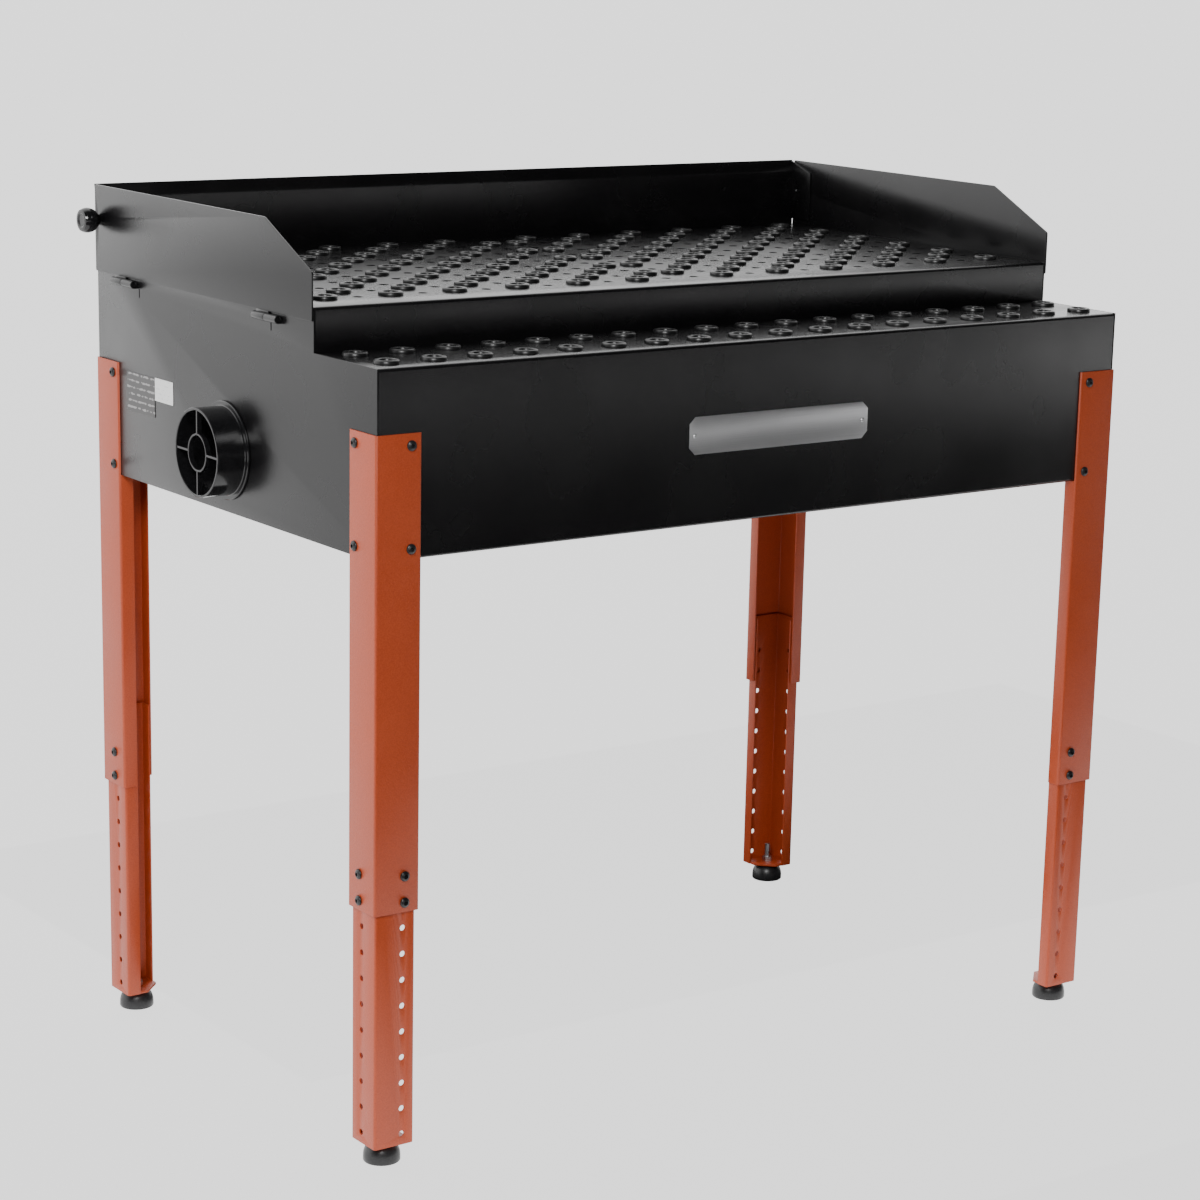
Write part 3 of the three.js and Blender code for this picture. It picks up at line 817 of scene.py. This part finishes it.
# ---- Bolts
# Black button-head bolts with a six-sided socket. Four lock each leg's height, and four more fix
# each upper leg to the cabinet's corner.
oxide = mottled(
    "black oxide",
    dark=(0.008, 0.008, 0.009),
    light=(0.02, 0.02, 0.021),
    smooth=0.25,
    rough=0.4,
    grain=500,
    relief=0.1,
)
bolt_radius = 0.00575
bolt_head = 0.0033
bolt_profile = [
    (0, 0),
    (bolt_radius - 0.0003, 0),
    (bolt_radius, 0.0003),
    (bolt_radius, 0.0009),
    *[
        (bolt_radius * math.cos(turn), 0.0009 + (bolt_head - 0.0009) * math.sin(turn))
        for turn in [math.radians(15 * step) for step in range(1, 4)]
    ],
    (bolt_radius * 0.52, bolt_head),
    (0, bolt_head),
]
bolt = spin_profile("bolt", bolt_profile, (0, 0, 0), (0, 0, 1), (1, 0, 0), 24)
bpy.ops.object.mode_set(mode="OBJECT")
punch(bolt, [(0, 0, bolt_head)], 0.0023, sides=6, length=0.004)
finish(bolt, edge=0, angle=30)


def place_bolts(name, seats):
    """One mesh of bolts, each copied to its seat and turned to face out of it."""
    copies = []
    for place, facing in seats:
        bpy.ops.object.select_all(action="DESELECT")
        bolt.select_set(True)
        bpy.context.view_layer.objects.active = bolt
        bpy.ops.object.duplicate()
        copy = bpy.context.object
        copy.rotation_euler = Vector(facing).to_track_quat("Z", "Y").to_euler()
        copy.location = place
        bpy.ops.object.transform_apply(location=True, rotation=True, scale=True)
        copies.append(copy)
    join_to(*copies)
    bolts = bpy.context.object
    bolts.name = name
    return bolts


def corner_seats(from_side, from_front, heights):
    """Bolt seats on the two outer faces of every upper leg."""
    seats = []
    for across_x, across_y in corners.values():
        out_x = 1 if across_x else -1
        out_y = 1 if across_y else -1
        face_x = left + right - leg_low.x if across_x else leg_low.x
        face_y = front + back - leg_low.y if across_y else leg_low.y
        for height in heights:
            seats.append(((face_x - out_x * from_side, face_y + out_y * seam, height), (0, out_y, 0)))
            seats.append(((face_x + out_x * seam, face_y - out_y * from_front, height), (out_x, 0, 0)))
    return seats


lock_seats = corner_seats(hole_from_side, hole_from_front, hole_heights[:2])
lock_bolts = place_bolts("leg_lock_bolts", lock_seats)
lock_nodes = [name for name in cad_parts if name.endswith("_bolt")]
fit(lock_bolts, "table", "black_oxide", oxide, *lock_nodes)
cabinet_heights = [bottom + 0.012, bottom + 0.123]
cabinet_from_corner = 0.0433
cabinet_seats = corner_seats(cabinet_from_corner, cabinet_from_corner, cabinet_heights)
cabinet_bolts = place_bolts("cabinet_corner_bolts", cabinet_seats)
fit(cabinet_bolts, "table", "black_oxide", oxide)
bpy.data.objects.remove(bolt)

# ---- Name plate and labels
# A blank satin plate riveted to the front wall, and two blank labels beside the dust port: a
# dark rating label with plain pale bars, and a small white sticker.
plate_low, plate_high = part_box("front_plaque")
plate_clip_corner = 0.008
plate_outline = [
    (plate_low.x + plate_clip_corner, plate_high.y, plate_low.z),
    (plate_high.x - plate_clip_corner, plate_high.y, plate_low.z),
    (plate_high.x, plate_high.y, plate_low.z + plate_clip_corner),
    (plate_high.x, plate_high.y, plate_high.z - plate_clip_corner),
    (plate_high.x - plate_clip_corner, plate_high.y, plate_high.z),
    (plate_low.x + plate_clip_corner, plate_high.y, plate_high.z),
    (plate_low.x, plate_high.y, plate_high.z - plate_clip_corner),
    (plate_low.x, plate_high.y, plate_low.z + plate_clip_corner),
]
plate = cut_plate("front_blank_plate", plate_outline, (0, plate_low.y - plate_high.y, 0))
outline = bmesh.from_edit_mesh(plate.data)
for face in outline.faces:
    face.select_set(face.normal.y < -0.5 or face.calc_center_median().y < plate_low.y + 0.0001)
bpy.ops.mesh.select_mode(type="FACE")
bpy.ops.mesh.inset(thickness=0.003, depth=0)
bpy.ops.mesh.inset(thickness=0.0006, depth=-0.0005)
bpy.ops.mesh.select_mode(type="VERT")
bpy.ops.object.mode_set(mode="OBJECT")
plate_middle_z = (plate_low.z + plate_high.z) / 2
rivet_profile = [
    (0, 0),
    (0.0026, 0),
    (0.0026, 0.0004),
    (0.0019, 0.0012),
    (0.0008, 0.0016),
    (0, 0.0016),
]
rivet_inset = 0.0075
rivet_heads = []
for rivet_x in (plate_low.x + rivet_inset, plate_high.x - rivet_inset):
    rivet_seat = (rivet_x, plate_low.y + 0.0001, plate_middle_z)
    rivet = spin_profile("rivet", rivet_profile, rivet_seat, (0, -1, 0), (1, 0, 0), 16)
    bpy.ops.object.mode_set(mode="OBJECT")
    rivet_heads.append(rivet)
join_to(plate, *rivet_heads)
finish(plate, edge=0.0002)
satin = bpy.data.materials.new("satin plate")
satin.use_nodes = True
satin_nodes = satin.node_tree.nodes
satin_shader = satin_nodes["Principled BSDF"]
satin_shader.inputs["Metallic"].default_value = 0.9
satin_place = satin_nodes.new("ShaderNodeTexCoord")
satin_stretch = satin_nodes.new("ShaderNodeMapping")
satin_stretch.inputs["Scale"].default_value = (4, 1, 900)
satin_brush = satin_nodes.new("ShaderNodeTexNoise")
satin_brush.inputs["Scale"].default_value = 3
satin_brush.inputs["Detail"].default_value = 2
wire(satin, satin_place.outputs["Object"], satin_stretch.inputs["Vector"])
wire(satin, satin_stretch.outputs["Vector"], satin_brush.inputs["Vector"])
satin_shades = satin_nodes.new("ShaderNodeValToRGB")
satin_shades.color_ramp.elements[0].color = (0.5, 0.5, 0.51, 1)
satin_shades.color_ramp.elements[1].color = (0.72, 0.72, 0.73, 1)
wire(satin, satin_brush.outputs["Fac"], satin_shades.inputs["Fac"])
wire(satin, satin_shades.outputs["Color"], satin_shader.inputs["Base Color"])
satin_shader.inputs["Roughness"].default_value = 0.38
fit(plate, "table", "brushed_plaque", satin, "front_plaque")

label_face = left - 0.0002


def label_outline(near, far, low, high):
    return [
        (label_face, front + near, bottom + low),
        (label_face, front + far, bottom + low),
        (label_face, front + far, bottom + high),
        (label_face, front + near, bottom + high),
    ]


def printed(name, ground, ink, rows, amount):
    """A label's film, with plain broken bars in rows and no lettering."""
    film = bpy.data.materials.new(name)
    film.use_nodes = True
    nodes = film.node_tree.nodes
    shader = nodes["Principled BSDF"]
    place = nodes.new("ShaderNodeTexCoord")
    bars = nodes.new("ShaderNodeTexWave")
    bars.bands_direction = "Z"
    bars.inputs["Scale"].default_value = rows
    wire(film, place.outputs["Object"], bars.inputs["Vector"])
    breaks = nodes.new("ShaderNodeTexNoise")
    breaks.inputs["Scale"].default_value = 160
    wire(film, place.outputs["Object"], breaks.inputs["Vector"])
    both = nodes.new("ShaderNodeMath")
    both.operation = "MULTIPLY"
    wire(film, bars.outputs["Fac"], both.inputs[0])
    wire(film, breaks.outputs["Fac"], both.inputs[1])
    tones = nodes.new("ShaderNodeValToRGB")
    tones.color_ramp.elements[0].position = amount
    tones.color_ramp.elements[1].position = amount + 0.06
    tones.color_ramp.elements[0].color = (*ground, 1)
    tones.color_ramp.elements[1].color = (*ink, 1)
    wire(film, both.outputs["Value"], tones.inputs["Fac"])
    wire(film, tones.outputs["Color"], shader.inputs["Base Color"])
    shader.inputs["Roughness"].default_value = 0.35
    return film


rating = cut_plate("rating_label", label_outline(0.5, 0.57, 0.082, 0.129), (-0.0003, 0, 0), corner=0.0015)
finish(rating, edge=0)
rating_film = printed("rating label film", (0.05, 0.048, 0.048), (0.3, 0.29, 0.29), 40, 0.42)
fit(rating, "table", "black_powder_coat", rating_film)
sticker = cut_plate("white_sticker", label_outline(0.454, 0.499, 0.103, 0.13), (-0.0003, 0, 0), corner=0.001)
finish(sticker, edge=0)
sticker_film = printed("white sticker film", (0.8, 0.8, 0.79), (0.66, 0.66, 0.66), 60, 0.5)
fit(sticker, "table", "black_powder_coat", sticker_film)

# ---- Floor pan and stiffener
# Hidden structure: the tray that closes the air box below, in the cabinet's own coat, and a
# plated channel under the middle of the deck.
for name, coat in (("floor_pan", black_coat), ("deck_stiffener", zinc)):
    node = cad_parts[name]
    node.data.materials.clear()
    node.data.materials.append(coat)

# ---- Studio
# A plain pale glowing floor, a bright paper surround behind the table that fades to the
# front, two black cloths on the floor that keep its glare off the front wall and the underside,
# and one soft light above the camera's left.
bpy.ops.object.select_all(action="DESELECT")
bpy.ops.mesh.primitive_plane_add(size=200, location=(0, 0, -0.0005))
floor = bpy.context.object
floor.name = "floor"
floor_paint = bpy.data.materials.new("floor")
floor_paint.use_nodes = True
floor_shader = floor_paint.node_tree.nodes["Principled BSDF"]
floor_shader.inputs["Base Color"].default_value = (0.06, 0.06, 0.06, 1)
floor_shader.inputs["Roughness"].default_value = 0.9
floor_shader.inputs["Emission Color"].default_value = (1, 1, 1, 1)
floor_shader.inputs["Emission Strength"].default_value = 1.6
floor_paint.cycles.emission_sampling = "NONE"
floor.data.materials.append(floor_paint)

surround = bpy.data.worlds.new("surround")
bpy.context.scene.world = surround
surround.use_nodes = True
surround_nodes = surround.node_tree.nodes
surround_nodes["Background"].inputs["Color"].default_value = (1, 1, 1, 1)
heading_in = surround_nodes.new("ShaderNodeTexCoord")
split = surround_nodes.new("ShaderNodeSeparateXYZ")
wire(surround, heading_in.outputs["Generated"], split.inputs["Vector"])
paper = surround_nodes.new("ShaderNodeMapRange")
paper.interpolation_type = "SMOOTHSTEP"
paper.inputs["From Min"].default_value = -0.15
paper.inputs["From Max"].default_value = 0.45
paper.inputs["To Min"].default_value = 0.02
paper.inputs["To Max"].default_value = 2.2
wire(surround, split.outputs["Y"], paper.inputs["Value"])
wire(surround, paper.outputs["Result"], surround_nodes["Background"].inputs["Strength"])

flag_cloth = bpy.data.materials.new("flag cloth")
flag_cloth.use_nodes = True
flag_shader = flag_cloth.node_tree.nodes["Principled BSDF"]
flag_shader.inputs["Base Color"].default_value = (0.01, 0.01, 0.01, 1)
flag_shader.inputs["Roughness"].default_value = 0.9
for name, place, size in (
    ("front_flag", (1.2, -4.4, 0.001), (7.8, 7.3, 1)),
    ("under_flag", (0.575, 0.475, 0.001), (2.05, 1.05, 1)),
):
    bpy.ops.object.select_all(action="DESELECT")
    bpy.ops.mesh.primitive_plane_add(size=1, location=place)
    flag = bpy.context.object
    flag.name = name
    flag.scale = size
    flag.data.materials.append(flag_cloth)
    flag.visible_camera = False
    flag.visible_shadow = False

lamp = bpy.data.lights.new("front light", "AREA")
lamp.size = 1.6
lamp.energy = 200
lamp_place = Vector((-3.0, -3.6, 3.4))
lamp_target = Vector((0, 0, 0.5))
softbox = bpy.data.objects.new("front light", lamp)
bpy.context.scene.collection.objects.link(softbox)
softbox.location = lamp_place
softbox.rotation_euler = (lamp_target - lamp_place).to_track_quat("-Z", "Y").to_euler()
softbox.visible_camera = False

camera_data = bpy.data.cameras.new("camera")
camera = bpy.data.objects.new("camera", camera_data)
bpy.context.scene.collection.objects.link(camera)
camera_place = Vector((left - 1.6813, front - 2.7793, bottom + 0.6863))
heading = -0.6365
tilt = math.pi / 2 - 0.2384
roll = 0.0258
aim = Matrix.Rotation(heading, 4, "Z") @ Matrix.Rotation(tilt, 4, "X") @ Matrix.Rotation(roll, 4, "Z")
camera.matrix_world = Matrix.Translation(camera_place) @ aim
camera_data.sensor_width = 36
camera_data.lens = 94.1
camera_data.shift_x = -0.0488
camera_data.shift_y = 0.0524
camera_data.clip_end = 100
bpy.context.scene.camera = camera
